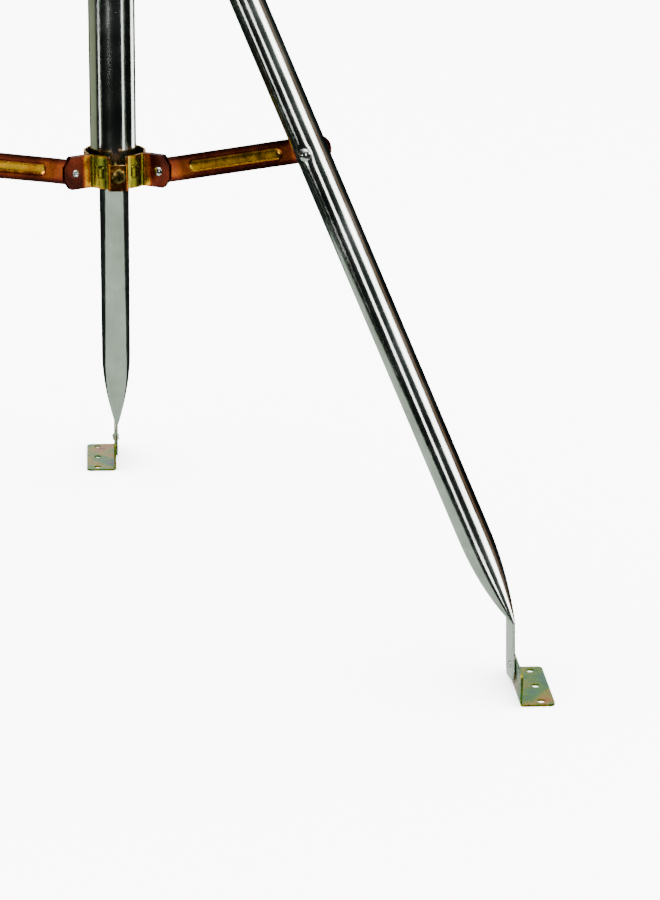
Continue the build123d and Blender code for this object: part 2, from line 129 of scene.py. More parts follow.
def plateZinc(name, look):
    # Zinc plated steel: drawn streaks along the tube, fine spangle, scuffs and dull patches
    material, tree, shader = newMaterial(name)
    along = addNode(tree, "ShaderNodeUVMap", {"uv_map": "tube"}).outputs["UV"]
    place = addNode(tree, "ShaderNodeTexCoord").outputs["Object"]
    spread = (1 / (look["streak"] * mm), 1 / (look["streakLength"] * mm), 1.0)
    streakMap = addNode(tree, "ShaderNodeMapping", {"Scale": spread}, {"Vector": along})
    streak = addNode(tree, "ShaderNodeTexNoise", {"Scale": 1.0, "Detail": 5.0, "Roughness": 0.6},
                     {"Vector": streakMap.outputs["Vector"]}).outputs["Fac"]
    cloud = addNode(tree, "ShaderNodeTexNoise", {"Scale": 1 / (look["cloud"] * mm), "Detail": 4.0},
                    {"Vector": place}).outputs["Fac"]
    speck = addNode(tree, "ShaderNodeTexNoise",
                    {"Scale": 1 / (look["speck"] * mm), "Detail": 6.0, "Roughness": 0.7},
                    {"Vector": place}).outputs["Fac"]
    scuffAcross = 1 / (look["scratchWidth"] * mm)
    scratch = (scuffAcross, scuffAcross, 1 / (look["scratchHeight"] * mm))
    scuffMap = addNode(tree, "ShaderNodeMapping", {"Scale": scratch}, {"Vector": place})
    scuff = addNode(tree, "ShaderNodeTexNoise", {"Scale": 1.0, "Detail": 8.0, "Roughness": 0.75},
                    {"Vector": scuffMap.outputs["Vector"]}).outputs["Fac"]
    worn = addNode(tree, "ShaderNodeValToRGB", {"stops": [(0.60, 0.0), (0.72, 1.0)]}, {"Fac": scuff})
    tones = [(0.30, look["dark"]), (0.55, look["base"]), (0.75, look["light"])]
    tone = addNode(tree, "ShaderNodeValToRGB", {"stops": tones}, {"Fac": cloud})
    lines = addNode(tree, "ShaderNodeValToRGB", {"stops": [(0.3, 0.62), (0.7, 1.0)]}, {"Fac": streak})
    toned = addNode(tree, "ShaderNodeMix",
                    {"data_type": "RGBA", "blend_type": "MULTIPLY", 0: look["streakDepth"]},
                    {6: tone.outputs["Color"], 7: lines.outputs["Color"]})
    smoothest, roughest = look["rough"]
    rough = addNode(tree, "ShaderNodeMapRange",
                    {"From Min": 0.3, "From Max": 0.75, "To Min": smoothest, "To Max": roughest},
                    {"Value": cloud})
    rougher = addNode(tree, "ShaderNodeMath", {"operation": "MULTIPLY_ADD", 1: look["scuff"]},
                      {0: worn.outputs["Color"], 2: rough.outputs["Result"]})
    ridges = addNode(tree, "ShaderNodeBump",
                     {"Strength": look["streakBump"], "Distance": look["relief"] * mm},
                     {"Height": streak})
    grain = addNode(tree, "ShaderNodeBump",
                    {"Strength": look["grainBump"], "Distance": look["relief"] * mm},
                    {"Height": speck, "Normal": ridges.outputs["Normal"]})
    tree.links.new(toned.outputs[2], shader.inputs["Base Color"])
    tree.links.new(rougher.outputs["Value"], shader.inputs["Roughness"])
    tree.links.new(grain.outputs["Normal"], shader.inputs["Normal"])
    shader.inputs["Metallic"].default_value = 1.0
    return material


def chromateZinc(name, look):
    # Yellow chromate over zinc: film colours drift in clouds about each place's tint, which on the clamps
    # and braces also holds painted highlights and painted shade, with darker runs and small rubbed specks
    material, tree, shader = newMaterial(name)
    place = addNode(tree, "ShaderNodeTexCoord").outputs["Object"]
    cloud = addNode(tree, "ShaderNodeTexNoise",
                    {"Scale": 1 / (look["patch"] * mm), "Detail": 3.0, "Roughness": 0.5},
                    {"Vector": place}).outputs["Fac"]
    run = addNode(tree, "ShaderNodeTexNoise",
                  {"Scale": 1 / (look["run"] * mm), "Detail": 5.0, "Roughness": 0.6},
                  {"Vector": place}).outputs["Fac"]
    speck = addNode(tree, "ShaderNodeTexNoise",
                    {"Scale": 1 / (look["speck"] * mm), "Detail": 6.0, "Roughness": 0.7},
                    {"Vector": place}).outputs["Fac"]
    tint = addNode(tree, "ShaderNodeAttribute", {"attribute_name": "tint"}).outputs["Fac"]
    lowest = look["centre"] - look["drift"] / 2
    drift = addNode(tree, "ShaderNodeMath",
                    {"operation": "MULTIPLY_ADD", 1: look["drift"], 2: lowest}, {0: cloud})
    hueAt = addNode(tree, "ShaderNodeMath", {"operation": "ADD", "use_clamp": True},
                    {0: drift.outputs["Value"], 1: tint})
    hue = addNode(tree, "ShaderNodeValToRGB", {"stops": look["hues"]}, {"Fac": hueAt.outputs["Value"]})
    shade = addNode(tree, "ShaderNodeValToRGB", {"stops": [(0.32, 0.35), (0.60, 1.0)]}, {"Fac": run})
    toned = addNode(tree, "ShaderNodeMix",
                    {"data_type": "RGBA", "blend_type": "MULTIPLY", 0: look["runDepth"]},
                    {6: hue.outputs["Color"], 7: shade.outputs["Color"]})
    bare = addNode(tree, "ShaderNodeValToRGB", {"stops": [(0.66, 0.0), (0.74, 0.25)]}, {"Fac": speck})
    rubbed = addNode(tree, "ShaderNodeMix", {"data_type": "RGBA", 7: linear(look["rubbed"])},
                     {0: bare.outputs["Color"], 6: toned.outputs[2]})
    smoothest, roughest = look["rough"]
    rough = addNode(tree, "ShaderNodeMapRange",
                    {"From Min": 0.3, "From Max": 0.7, "To Min": smoothest, "To Max": roughest},
                    {"Value": run})
    grain = addNode(tree, "ShaderNodeBump",
                    {"Strength": 0.3, "Distance": look["relief"] * mm},
                    {"Height": speck})
    swell = addNode(tree, "ShaderNodeBump", {"Strength": 0.5, "Distance": look["dents"] * mm},
                    {"Height": run, "Normal": grain.outputs["Normal"]})
    tree.links.new(rubbed.outputs[2], shader.inputs["Base Color"])
    tree.links.new(rough.outputs["Result"], shader.inputs["Roughness"])
    tree.links.new(swell.outputs["Normal"], shader.inputs["Normal"])
    shader.inputs["Metallic"].default_value = 1.0
    return material


# Lengths in the looks are in mm: width and length of streaks, clouds, specks, scratches and relief
tubeLook = dict(
    dark="#a8aea6", base="#bcc2bb", light="#d2d6d1", streak=0.8, streakLength=60.0, streakDepth=0.3,
    rough=(0.11, 0.21), scuff=0.14, streakBump=0.3, grainBump=0.15,
    cloud=38.0, speck=2.2, scratchWidth=7.0, scratchHeight=1.6, relief=0.02,
)
rivetLook = dict(
    dark="#b9bdba", base="#d3d6d4", light="#e8eae9", streak=3.0, streakLength=3.0, streakDepth=0.1,
    rough=(0.14, 0.26), scuff=0.2, streakBump=0.1, grainBump=0.4,
    cloud=9.0, speck=0.8, scratchWidth=2.0, scratchHeight=0.8, relief=0.02,
)
filmHues = [(0.05, "#32150f"), (0.18, "#6a2c1a"), (0.32, "#a8561a"), (0.45, "#cf9a1c"), (0.57, "#a0922a"),
            (0.70, "#5f7f30"), (0.84, "#3f8055"), (0.94, "#6a5f78"), (1.0, "#9a5a4a")]
plateLook = dict(
    patch=24.0, run=7.0, speck=0.9, relief=0.02, dents=0.15, drift=0.30, centre=0.0,
    hues=filmHues, runDepth=0.5, rubbed="#d8d2b8", rough=(0.18, 0.32),
)
footHues = [(0.08, "#5a2c0c"), (0.26, "#8a5812"), (0.42, "#7c7212"), (0.55, "#4a6c18"), (0.70, "#2c6430"),
            (0.84, "#2f5a44"), (0.93, "#4c3a58"), (1.0, "#8a4a1c")]
footLook = dict(
    patch=26.0, run=8.0, speck=0.9, relief=0.02, dents=0.15, drift=1.7, centre=0.55,
    hues=footHues, runDepth=0.35, rubbed="#b8b890", rough=(0.22, 0.36),
)
boltHues = [(0.2, "#4a3418"), (0.5, "#7a6a34"), (0.8, "#9a8444")]
boltLook = dict(
    patch=7.0, run=2.5, speck=0.6, relief=0.02, dents=0.08, drift=1.0, centre=0.5,
    hues=boltHues, runDepth=0.4, rubbed="#cfcab8", rough=(0.18, 0.34),
)
zincTube = plateZinc("zincPlatedDrawnTube", tubeLook)
brightRivet = plateZinc("brightPlatedRivet", rivetLook)
yellowPlate = chromateZinc("yellowChromatedPressedSteel", plateLook)
yellowFoot = chromateZinc("yellowChromatedBracketSteel", footLook)
yellowBolt = chromateZinc("yellowChromatedBoltSteel", boltLook)
print("materials made")

slotMaterials = {"zinc_tube": zincTube, "yellow_zinc": yellowPlate, "yellow_zinc_fastener": yellowBolt,
                 "bright_rivet": brightRivet}
slotOfNode = {entry["node"]: entry["material_slot"] for entry in frame["record"]["subparts"]}
warmSet = bpy.data.collections.new("warmReceivers")
for nodeName, thing in nodes.items():
    thing.data.materials.clear()
    chosen = yellowFoot if nodeName.startswith("foot_bracket") else slotMaterials[slotOfNode[nodeName]]
    thing.data.materials.append(chosen)
    if slotOfNode[nodeName].startswith("yellow"):
        warmSet.objects.link(thing)
print("frame painted")


# How every new mesh is cleaned: merging distance and shortest edge in mm, angle of a sharp edge in degrees
meshSizes = dict(mergeGap=0.01, shortEdge=0.002, sharpAngle=38.0)


def gridPiece(name, patches, material, body, slot, replaced, modifiers=()):
    # each patch holds rows[i, j] in mm: neighbours join into quads, columns wrap where round is set
    # and rows wrap where loop is set
    points, faces, corners, tints = [], [], [], []
    start = 0
    for patch in patches:
        rows = np.asarray(patch["rows"], float)
        count, width = rows.shape[:2]
        i = np.arange(count if patch.get("loop") else count - 1)[:, None]
        j = np.arange(width if patch["round"] else width - 1)[None, :]
        nextI, nextJ = (i + 1) % count, (j + 1) % width
        quads = np.stack([i * width + j, i * width + nextJ, nextI * width + nextJ, nextI * width + j], -1)
        faces.append(quads.reshape(-1, 4) + start)
        points.append(rows.reshape(-1, 3) * mm)
        across = patch.get("across", np.arange(width + 1) * 1.0)
        along = patch.get("along", np.arange(count) * 1.0)
        twist = patch.get("twist", np.zeros(count))
        place = np.stack(np.broadcast_arrays(across[None, :] + twist[:, None], along[:, None]), -1) * mm
        quadPlaces = np.stack([place[i, j], place[i, j + 1], place[nextI, j + 1], place[nextI, j]], 2)
        corners.append(quadPlaces.reshape(-1, 2))
        tints.append(np.broadcast_to(patch.get("tint", 0.0), (count, width)).ravel())
        start += count * width
    mesh = bpy.data.meshes.new(name)
    mesh.from_pydata(np.concatenate(points).tolist(), [], np.concatenate(faces).tolist())
    layer = mesh.uv_layers.new(name="tube")
    layer.data.foreach_set("uv", np.concatenate(corners).astype(np.float32).ravel())
    tint = mesh.attributes.new("tint", "FLOAT", "POINT")
    tint.data.foreach_set("value", np.concatenate(tints).astype(np.float32))
    mesh.materials.append(material)
    shell = bmesh.new()
    shell.from_mesh(mesh)
    bmesh.ops.remove_doubles(shell, verts=shell.verts, dist=meshSizes["mergeGap"] * mm)
    bmesh.ops.dissolve_degenerate(shell, edges=shell.edges, dist=meshSizes["shortEdge"] * mm)
    bmesh.ops.recalc_face_normals(shell, faces=shell.faces)
    shell.to_mesh(mesh)
    shell.free()
    mesh.polygons.foreach_set("use_smooth", np.full(len(mesh.polygons), True))
    mesh.set_sharp_from_angle(angle=math.radians(meshSizes["sharpAngle"]))
    mesh.update()
    thing = bpy.data.objects.new(name, mesh)
    bpy.context.scene.collection.objects.link(thing)
    for kind, settings in modifiers:
        modifier = thing.modifiers.new(kind.lower(), kind)
        for key, value in settings.items():
            setattr(modifier, key, value)
    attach(thing, body)
    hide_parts(*replaced)
    if slot.startswith("yellow"):
        warmSet.objects.link(thing)
    return thing


def sheetWall(thickness, softEdge):
    # half the thickness grown each way from the sheet's middle, then its edges rounded off
    return [("SOLIDIFY", dict(thickness=thickness * mm, offset=0.0, use_even_offset=True)),
            ("BEVEL", dict(width=softEdge * mm, segments=2, limit_method="ANGLE",
                           angle_limit=math.radians(50), harden_normals=True))]


# Legs: one tube from the top flat down to the creased foot tab
legSizes = dict(
    radius=15.875, wall=1.2, footTaper=90.0, headTaper=76.0, headFlat=34.0, endRadius=18.0,
    creaseGap=0.9,                                    # the bend between tube and tab, each way
    tabLength=55.1, tabCorner=9.0, tabInset=0.25,
    dimpleDepth=0.9, dimpleRadius=8.5, dimpleSide=4.0,
    twistStart=150.0, twistEnd=120.0,                 # from the top pivot and from the crease
    tubeStep=14.0, rivetStep=1.2, rivetSpan=24.0, quarter=24,
)


def sectionRing(straight, cap, half, roundness, quarter):
    # per quarter: cap angle 90 q / c up to q = c, then along the straight, with c = 0.5 + 0.5 roundness
    phase = np.arange(4 * quarter) / quarter
    whole = np.floor(phase).astype(int)
    q = np.where(whole % 2 == 0, phase - whole, 1 - (phase - whole))[None, :]
    c = (0.5 + 0.5 * roundness)[:, None]
    angle = np.minimum(q / c, 1) * math.pi / 2
    beyond = np.clip((q - c) / np.maximum(1 - c, 1e-6), 0, 1)
    sideways = np.where((whole == 0) | (whole == 3), 1, -1)
    x = (straight[:, None] * (1 - beyond) + cap[:, None] * np.cos(angle)) * sideways
    y = half[:, None] * np.sin(angle) * np.where(whole < 2, 1, -1)
    return x, y


def footAxes(name, azimuth):
    # the bracket's outward direction, and the tab's width and downward directions square to it
    world = math.radians(stand["footTurn"][name] - azimuth)
    out = np.array([math.cos(world), math.sin(world), 0.0])
    footWide = unit(np.cross(out, legDown))
    footDown = unit(np.cross(out, footWide))
    return out, footWide, footDown * -np.sign(footDown[2])


def makeLeg(name, azimuth, sizes):
    # sections set along the leg's line: flat half width pi (r - half) / 2 plus a cap, so the girth is kept
    # from the round tube to both flats, while the section turns by the share of its swing
    full, wall = sizes["radius"], sizes["wall"]
    out, footWide, footDown = footAxes(name, azimuth)
    topWide = unit(np.cross(tangent, legDown))
    footThin = unit(np.cross(legDown, footWide))
    swing = math.atan2(footThin @ topWide, footThin @ tangent)
    swing = (swing + math.pi / 2) % math.pi - math.pi / 2
    rivetAt = (legRivetPoint - pivotPoint) @ legDown
    tubeRows = np.unique(np.concatenate([
        np.arange(sizes["headFlat"] + sizes["headTaper"], legLength - sizes["footTaper"], sizes["tubeStep"]),
        np.arange(rivetAt - sizes["rivetSpan"], rivetAt + sizes["rivetSpan"], sizes["rivetStep"])]))
    down = np.concatenate([
        -sizes["endRadius"] * np.cos(np.linspace(0, math.pi / 2, 14)),
        np.linspace(2, sizes["headFlat"], 8),
        sizes["headFlat"] + sizes["headTaper"] * np.linspace(0.02, 1, 34) ** 1.3,
        tubeRows[1:],
        legLength - sizes["footTaper"] * np.linspace(1, 0.02, 40) ** 1.2,
        [legLength - sizes["creaseGap"]],
    ])
    top = np.clip((down - sizes["headFlat"]) / sizes["headTaper"], 0, 1)
    foot = np.clip((legLength - down) / sizes["footTaper"], 0, 1)
    swell = np.sin(math.pi / 2 * np.minimum(top, foot) ** 0.85)
    half = wall + (full - wall) * swell
    flatHalf = math.pi * (full - wall) / 2 + wall
    lean = sizes["endRadius"] + (flatHalf - sizes["endRadius"]) * np.clip(down / sizes["headFlat"], 0, 1)
    outline = np.where(down < 0, np.sqrt(np.maximum(sizes["endRadius"] ** 2 - down ** 2, 0)), lean)
    pressed = math.pi * (full - half) / 2
    cap = np.where(down < sizes["headFlat"], np.minimum(wall, outline), half)
    straight = np.where(down < sizes["headFlat"], outline - cap, pressed)
    x, y = sectionRing(straight, cap, half, swell, sizes["quarter"])
    share = smooth(sizes["twistStart"], legLength - sizes["twistEnd"], down)
    angle = (swing * share)[:, None]
    thin = np.cos(angle) * tangent + np.sin(angle) * topWide
    wide = -np.sin(angle) * tangent + np.cos(angle) * topWide
    centre = pivotPoint + down[:, None] * legDown
    rows = centre[:, None, :] + x[..., None] * wide[:, None, :] + y[..., None] * thin[:, None, :]
    away = rows - legRivetPoint
    # pressed dimple round the rivet: depth times e to the minus 2 (distance / radius) squared
    offAxis = (away ** 2).sum(-1) - (away @ tangent) ** 2
    nearSide = away @ tangent < -sizes["dimpleSide"]
    dent = sizes["dimpleDepth"] * np.exp(-offAxis / (0.5 * sizes["dimpleRadius"] ** 2)) * nearSide
    rows = rows + dent[..., None] * tangent
    last, rounding = sizes["tabLength"], sizes["tabCorner"]
    tabAt = np.concatenate([[0.0, sizes["creaseGap"]], np.linspace(3, last - rounding, 12),
                            last - rounding * (1 - np.sin(np.linspace(0.12, 1.5, 12))), [last, last]])
    corner = np.clip((tabAt - (last - rounding)) / rounding, 0, 1)
    tabHalf = flatHalf - sizes["tabInset"] - rounding * (1 - np.sqrt(1 - corner ** 2))
    tabThick = np.full(len(tabAt), wall)
    tabThick[-2] = wall * 0.6
    tabThick[-1] = 0.0
    tabCap, tabRoundness = np.full(len(tabAt), wall), np.zeros(len(tabAt))
    tabX, tabY = sectionRing(tabHalf - wall, tabCap, tabThick, tabRoundness, sizes["quarter"])
    side = np.sign(out @ thin[-1])
    across = np.sign(footWide @ wide[-1])
    tabThin = np.repeat((out * side)[None, :], len(tabAt), 0)
    tabThin[0] = unit(out * side + thin[-1])
    tabRows = (creasePoint + tabAt[:, None] * footDown)[:, None, :] + tabX[..., None] * (footWide * across)
    tabRows = tabRows + tabY[..., None] * tabThin[:, None, :]
    allRows = turnAbout(np.concatenate([rows, tabRows]), azimuth)
    along = np.concatenate([down, legLength + tabAt])
    twist = np.concatenate([swing * share * full, np.full(len(tabAt), swing * full)])
    perimeter = np.linspace(0, 2 * math.pi * full, 4 * sizes["quarter"] + 1)
    patch = dict(rows=allRows, round=True, along=along, across=perimeter, twist=twist)
    gridPiece("tubeLeg_" + name, [patch], zincTube, "leg_" + name, "zinc_tube", ["leg_" + name])


for name, azimuth in stand["azimuths"].items():
    makeLeg(name, azimuth, legSizes)
print("legs made")

# Mast: plain tube with softened rims
mastSizes = dict(radius=22.225, wall=1.6, low=440.0, high=1050.0, rim=0.35, girth=139.6, seam=1.4,
                 rows=40, columns=128)


def makeMast(sizes):
    # tube wall profile (r, z) turned all the way round the mast's own axis
    outer, inner, rim = sizes["radius"], sizes["radius"] - sizes["wall"], sizes["rim"]
    count, columns = sizes["rows"], sizes["columns"]
    body = np.linspace(sizes["low"] + rim, sizes["high"] - rim, count)
    profile = np.concatenate([
        np.stack([np.full(count, outer), body], -1),
        [[outer - rim, sizes["high"]], [inner + rim, sizes["high"]]],
        np.stack([np.full(count, inner), body[::-1]], -1),
        [[inner + rim, sizes["low"]], [outer - rim, sizes["low"]]],
    ])
    angles = np.linspace(0, 2 * math.pi, columns, endpoint=False) + sizes["seam"]
    rows = np.stack([profile[:, 0:1] * np.cos(angles), profile[:, 0:1] * np.sin(angles),
                     np.repeat(profile[:, 1:2], columns, 1)], -1)
    turn = math.radians(stand["mastShiftAzimuth"])
    rows = rows + stand["mastShift"] * np.array([math.cos(turn), math.sin(turn), 0.0])
    around = np.linspace(0, sizes["girth"], columns + 1)
    patch = dict(rows=rows, round=True, loop=True, along=profile[:, 1], across=around)
    gridPiece("mastTube", [patch], zincTube, "mast", "zinc_tube", ["mast_tube"])


makeMast(mastSizes)
print("mast made")

# Clamp segments: a strip bent from ear to ear round the mast, the front one with a boss
clampSizes = dict(
    sheet=2.0, softEdge=0.35, radius=29.0, halfHeight=16.0, bend=4.0, clipLength=7.0, clipHeight=9.5,
    bossHalf=9.35, bossFront=38.0, bossTop=9.3, bossCorner=1.2, bossFoot=1.3, faceDepth=3.2,
    pad=0.7, padAt=32.0, padFlat=1.6, padRamp=4.0, padLow=4.2, padHigh=6.0,
    bendClear=1.2,                                    # degrees of ring left out beside each ear's bend
    ringReach=30.0, bendReach=33.5, bendWidth=2.6, earReach=(35.0, 41.0),
    ringTint=0.60, earTint=0.09, bossFilmAndReflection=0.34, paintedBendHighlight=0.42, paintedRimShade=0.25, rows=33,
)
clamps = {
    "head": dict(level=pivotHeight, yaw=0.0, gap=2.9, offset=0.0, earEnd=66.0),
    "collar": dict(level=stand["collarHeight"], yaw=stand["collarYaw"], gap=2.5,
                   offset=stand["collarOffset"], earEnd=59.4),
}


def arc(centre, radius, first, last, count):
    # centre + radius (cos a, sin a), from the first angle to the last
    angles = np.radians(np.linspace(first, last, count))
    return np.stack([centre[0] + radius * np.cos(angles), centre[1] + radius * np.sin(angles)], -1)


def makeSegment(clamp, side, azimuth, facts, sizes):
    # plan path of the sheet's middle, with upright rows over it: ear, bend, ring, bend and ear,
    # and on the front segment a boss between two stretches of ring
    radius, bend, sheet = sizes["radius"], sizes["bend"], sizes["sheet"]
    halves, starts = [], []
    for offset in (facts["offset"], -facts["offset"]):
        ear = offset + facts["gap"] / 2 + sheet / 2
        reach = math.sqrt((radius + bend) ** 2 - (ear + bend) ** 2)
        hubAngle = math.degrees(math.atan2(ear + bend, reach))
        earLine = np.stack([np.linspace(facts["earEnd"], reach + 0.2, 16), np.full(16, ear)], -1)
        curl = arc((reach, ear + bend), bend, 270.0, 180.0 + hubAngle, 9)
        halves.append(np.concatenate([earLine, curl]))
        starts.append(hubAngle)
    mirrored = halves[1] * np.array([1.0, -1.0])
    spin = math.radians(120)
    rotate = np.array([[math.cos(spin), math.sin(spin)], [-math.sin(spin), math.cos(spin)]])
    second = (mirrored @ rotate)[::-1]
    begin = starts[0] + sizes["bendClear"]
    end = 120.0 - starts[1] - sizes["bendClear"]
    front = side == "front"
    if front:
        middle = 60.0 + facts["yaw"]
        corner = sizes["bossCorner"]
        inner = sizes["bossHalf"] - sheet / 2
        opening = math.degrees(math.asin((inner + corner) / radius))
        face = sizes["bossFront"] - sheet / 2
        foot = math.sqrt(radius ** 2 - inner ** 2) + sizes["bossFoot"]
        local = np.concatenate([
            np.stack([np.linspace(foot, face - corner, 7), np.full(7, -inner)], -1),
            arc((face - corner, -inner + corner), corner, -80.0, -10.0, 5),
            np.stack([np.full(9, face), np.linspace(-inner + 1.5, inner - 1.5, 9)], -1),
            arc((face - corner, inner - corner), corner, 10.0, 80.0, 5),
            np.stack([np.linspace(face - corner, foot, 7), np.full(7, inner)], -1)])
        turn = math.radians(middle)
        local = local @ np.array([[math.cos(turn), math.sin(turn)], [-math.sin(turn), math.cos(turn)]])
        wallOne = arc((0, 0), radius, begin, middle - opening, 26)
        wallTwo = arc((0, 0), radius, middle + opening, end, 26)
        path = np.concatenate([halves[0], wallOne, local, wallTwo, second])
        before, after = len(halves[0]) + len(wallOne), len(wallTwo) + len(second)
        bossMask = np.concatenate([np.zeros(before), np.ones(len(local)), np.zeros(after)])
    else:
        path = np.concatenate([halves[0], arc((0, 0), radius, begin, end, 60), second])
        bossMask = np.zeros(len(path))
    count = len(path)
    span = np.linalg.norm(path, axis=1)
    fromEnd = facts["earEnd"] - span
    clip = sizes["clipHeight"] * np.clip(1 - fromEnd / sizes["clipLength"], 0, 1)
    low = -(sizes["halfHeight"] - clip)
    high = sizes["halfHeight"] - clip
    isFace = (bossMask > 0) & (span > sizes["bossFront"] - sizes["faceDepth"])
    high = np.where(isFace, np.minimum(high, sizes["bossTop"]), high)
    share = np.linspace(0, 1, sizes["rows"])
    z = low[:, None] + (high - low)[:, None] * share[None, :]
    along = np.concatenate([[0], np.cumsum(np.linalg.norm(np.diff(path, axis=0), axis=1))])
    outward = np.gradient(path, axis=0)
    outward = np.stack([outward[:, 1], -outward[:, 0]], -1) / np.linalg.norm(outward, axis=1)[:, None]
    turnTo = np.degrees(np.arctan2(path[:, 1], path[:, 0])) - (60.0 + facts["yaw"])
    onRing = (bossMask == 0) * (span < sizes["ringReach"])
    fromPad = np.abs(np.abs(turnTo) - sizes["padAt"]) / sizes["padRamp"]
    window = np.clip(sizes["padFlat"] - fromPad, 0, 1) * onRing
    lift = np.zeros_like(z)
    if front:
        upright = 1 - smooth(sizes["padLow"], sizes["padHigh"], np.abs(z))
        lift = sizes["pad"] * smooth(0, 1, window)[:, None] * upright
    rows = np.stack([path[:, 0:1] + outward[:, 0:1] * lift, path[:, 1:2] + outward[:, 1:2] * lift,
                     z + facts["level"]], -1)
    # painted highlight: near each ear's bend the tint is pulled up to a bright gold, standing in for the
    # bend's glint
    bendHighlight = np.exp(-((span - sizes["bendReach"]) / sizes["bendWidth"]) ** 2) * (bossMask == 0)
    ears = smooth(*sizes["earReach"], span) * (bossMask == 0)
    tint = sizes["ringTint"] * (1 - ears) * (1 - bossMask)
    # the boss's tint is its chromate film colour together with a painted orange reflection on its face
    tint = tint + sizes["earTint"] * ears + sizes["bossFilmAndReflection"] * bossMask
    tint = tint * (1 - bendHighlight) + sizes["paintedBendHighlight"] * bendHighlight
    # painted shade: the tint is darkened towards the top and bottom edges of the strip
    edge = smooth(0.80, 1.0, np.abs(z) / sizes["halfHeight"])
    patch = dict(rows=turnAbout(rows, azimuth), round=False, along=along,
                 across=np.arange(sizes["rows"] + 1.0),
                 tint=tint[:, None] * (1 - sizes["paintedRimShade"] * edge))
    gridPiece("%sClamp_%s" % (clamp, side), [patch], yellowPlate, clamp, "yellow_zinc",
              ["%s_segment_%s" % (clamp, side)], sheetWall(sheet, sizes["softEdge"]))


for clamp, facts in clamps.items():
    for side, azimuth in (("right", -30.0), ("left", 90.0), ("front", 210.0)):
        makeSegment(clamp, side, azimuth, facts, clampSizes)
print("clamps made")

# Braces: offset strap with full-round ends and a pressed rib
braceSizes = dict(
    half=12.0, sheet=2.0, softEdge=0.3, innerOffset=3.8, outerOffset=17.275,
    earBend=22.0, legBend=30.0, bendSoft=3.0,
    ribHalf=6.5, ribInset=9.0, ribRise=1.35, ribShoulder=3.4, ribLevel=0.45, lineInset=0.6, lineWidth=0.9,
    baseTint=0.24, paintedRibHighlight=0.20, edgeTint=0.21, paintedRibOutlineShade=0.10, legTint=0.06, rows=210, columns=41,
)


def makeBrace(name, azimuth, sizes):
    # strap middle: the offset grows evenly between two soft bends, and the rib rises by a smooth window
    # of the distance from its centre line
    run = math.hypot(legRivetReach - stand["collarRivet"], stand["legRivetRise"])
    slope = math.atan2(stand["legRivetRise"], legRivetReach - stand["collarRivet"])
    half = sizes["half"]
    near, far = sizes["earBend"], run - sizes["legBend"]
    ends = np.linspace(0, math.pi / 2, 14)
    at = np.concatenate([-half * np.cos(ends), np.linspace(1, run - 1, sizes["rows"]),
                         run + half * np.sin(ends)])
    outline = half * np.sqrt(np.clip(1 - (np.maximum(-at, at - run) / half).clip(0) ** 2, 0, 1))
    slant = (sizes["outerOffset"] - sizes["innerOffset"]) / (far - near)
    soft = sizes["bendSoft"]
    ease = soft * (np.logaddexp(0, (at - near) / soft * 2) - np.logaddexp(0, (at - far) / soft * 2)) / 2
    offset = sizes["innerOffset"] + slant * ease
    share = np.linspace(-1, 1, sizes["columns"])
    up = outline[:, None] * share[None, :]
    ribLow, ribHigh = near + sizes["ribInset"] + sizes["ribHalf"], far - sizes["ribInset"] - sizes["ribHalf"]
    beyond = np.maximum(ribLow - at, at - ribHigh).clip(0)[:, None]
    distance = np.hypot(beyond, up)
    plateau = 1 - smooth(sizes["ribHalf"] - sizes["ribShoulder"], sizes["ribHalf"], distance)
    crown = 1 - (distance / sizes["ribHalf"]).clip(0, 1) ** 2
    lift = sizes["ribRise"] * plateau * (sizes["ribLevel"] + (1 - sizes["ribLevel"]) * crown)
    rows = np.stack([np.repeat(at[:, None], sizes["columns"], 1), offset[:, None] - lift, up], -1)
    turned = rows.copy()
    turned[..., 0] = rows[..., 0] * math.cos(slope) - rows[..., 2] * math.sin(slope) + stand["collarRivet"]
    turned[..., 2] = rows[..., 0] * math.sin(slope) + rows[..., 2] * math.cos(slope) + stand["collarHeight"]
    edge = smooth(0.45, 0.98, np.abs(up) / half)
    ribOutlineShade = np.exp(-((distance - sizes["ribHalf"] + sizes["lineInset"]) / sizes["lineWidth"]) ** 2)
    legEnd = smooth(far - 12, far + 8, at)[:, None]
    # painted highlight: the rib's tint is raised to gold; painted shade: a dark line just inside the rib's
    # edge; the strap is also darker towards its long edges and the leg end
    tint = sizes["baseTint"] + sizes["paintedRibHighlight"] * plateau - sizes["edgeTint"] * edge
    tint = tint - sizes["paintedRibOutlineShade"] * ribOutlineShade - sizes["legTint"] * legEnd
    patch = dict(rows=turnAbout(turned, azimuth), round=False, along=at,
                 across=np.arange(sizes["columns"] + 1.0), tint=tint)
    gridPiece("braceStrap_" + name, [patch], yellowPlate, "brace_" + name, "yellow_zinc",
              ["brace_" + name], sheetWall(sizes["sheet"], sizes["softEdge"]))


for name, azimuth in stand["azimuths"].items():
    makeBrace(name, azimuth, braceSizes)
print("braces made")


def ringRows(radius, rise, centre, axis, angles):
    # points centre + axis z + r (e cos a + f sin a), with e and f square to the axis and to each other
    side = unit(np.cross(axis, [0.0, 0.3, 1.0]))
    other = np.cross(axis, side)
    ring = np.cos(angles)[:, None] * side + np.sin(angles)[:, None] * other
    return centre + rise[:, None, None] * axis + radius[..., None] * ring[None]


def lathe(profile, centre, axis, columns=48):
    # each profile pair (r, z) turned all the way round the axis
    profile = np.asarray(profile, float)
    angles = np.linspace(0, 2 * math.pi, columns, endpoint=False)
    return ringRows(profile[:, 0, None], profile[:, 1], centre, axis, angles)


